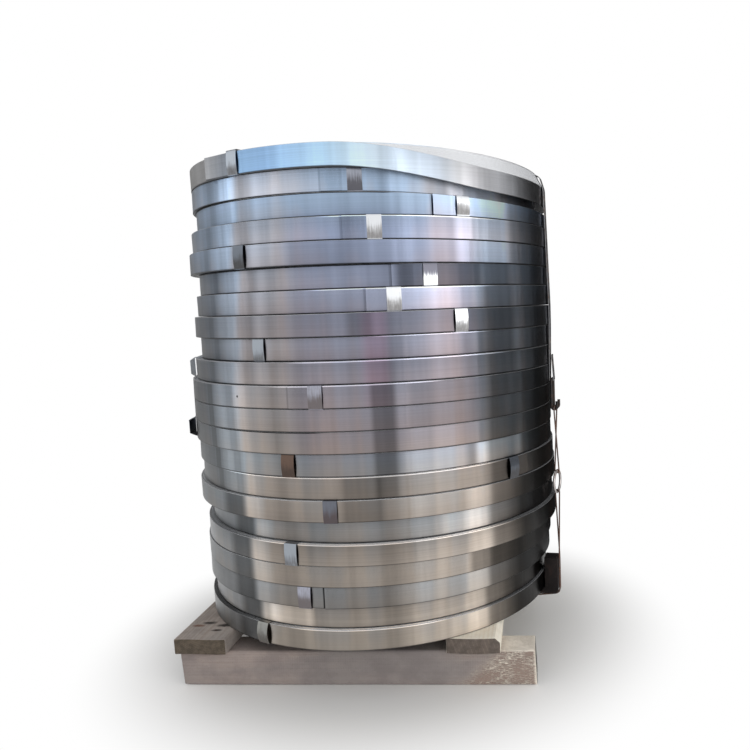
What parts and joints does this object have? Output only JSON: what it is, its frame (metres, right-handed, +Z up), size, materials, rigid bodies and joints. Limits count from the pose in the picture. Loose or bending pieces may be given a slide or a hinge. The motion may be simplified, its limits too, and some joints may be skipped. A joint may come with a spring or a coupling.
{
  "type": "stack of slit steel coils on timber skid",
  "caption": "Tall stack of narrow slit steel strip coils, each bound with flat steel bands, on a timber skid of beams and deck boards, tied by a strap, hook, ring and wire down one side.",
  "frame": {"origin": "on the floor under the middle of the object's box, between the skid's two beams", "axes": "+Z up along the coils' bore; +X along the skid's beams, towards the side with the lashing; +Y from the front beam to the rear beam"},
  "size_m": [0.9964, 0.9866, 1.2631],
  "materials": {
    "coil_steel": "bright rolled",
    "band_steel": "dull, part browned",
    "skid_timber": "rough sawn, weathered",
    "lashing_steel": "dull wire",
    "pad_rubber": "matt"
  },
  "bodies": {
    "root": {"coil_01": "coil_steel", "coil_02": "coil_steel", "coil_03": "coil_steel", "coil_04": "coil_steel", "coil_05": "coil_steel", "coil_06": "coil_steel", "coil_07": "coil_steel", "coil_08": "coil_steel", "coil_09": "coil_steel", "coil_10": "coil_steel", "coil_11": "coil_steel", "coil_12": "coil_steel", "coil_13": "coil_steel", "coil_14": "coil_steel", "coil_15": "coil_steel", "coil_16": "coil_steel", "coil_17": "coil_steel", "coil_18": "coil_steel", "coil_19": "coil_steel", "coil_20": "coil_steel", "coil_21": "coil_steel", "coil_22": "coil_steel", "band_01": "band_steel", "band_02": "band_steel", "band_03": "band_steel", "band_04": "band_steel", "band_05": "band_steel", "band_06": "band_steel", "band_07": "band_steel", "band_08": "band_steel", "band_09": "band_steel", "band_10": "band_steel", "band_11": "band_steel", "band_12": "band_steel", "band_13": "band_steel", "band_14": "band_steel", "band_15": "band_steel", "band_16": "band_steel", "band_17": "band_steel", "band_18": "band_steel", "band_19": "band_steel", "band_20": "band_steel", "band_21": "band_steel", "band_22": "band_steel", "front_beam": "skid_timber", "rear_beam": "skid_timber", "left_board": "skid_timber", "right_board": "skid_timber", "lashing_strap": "lashing_steel", "lashing_hook": "lashing_steel", "lashing_link": "lashing_steel", "lashing_ring": "lashing_steel", "lashing_wire": "lashing_steel", "lashing_seal": "lashing_steel", "lashing_pad": "pad_rubber"}
  },
  "joints": []
}
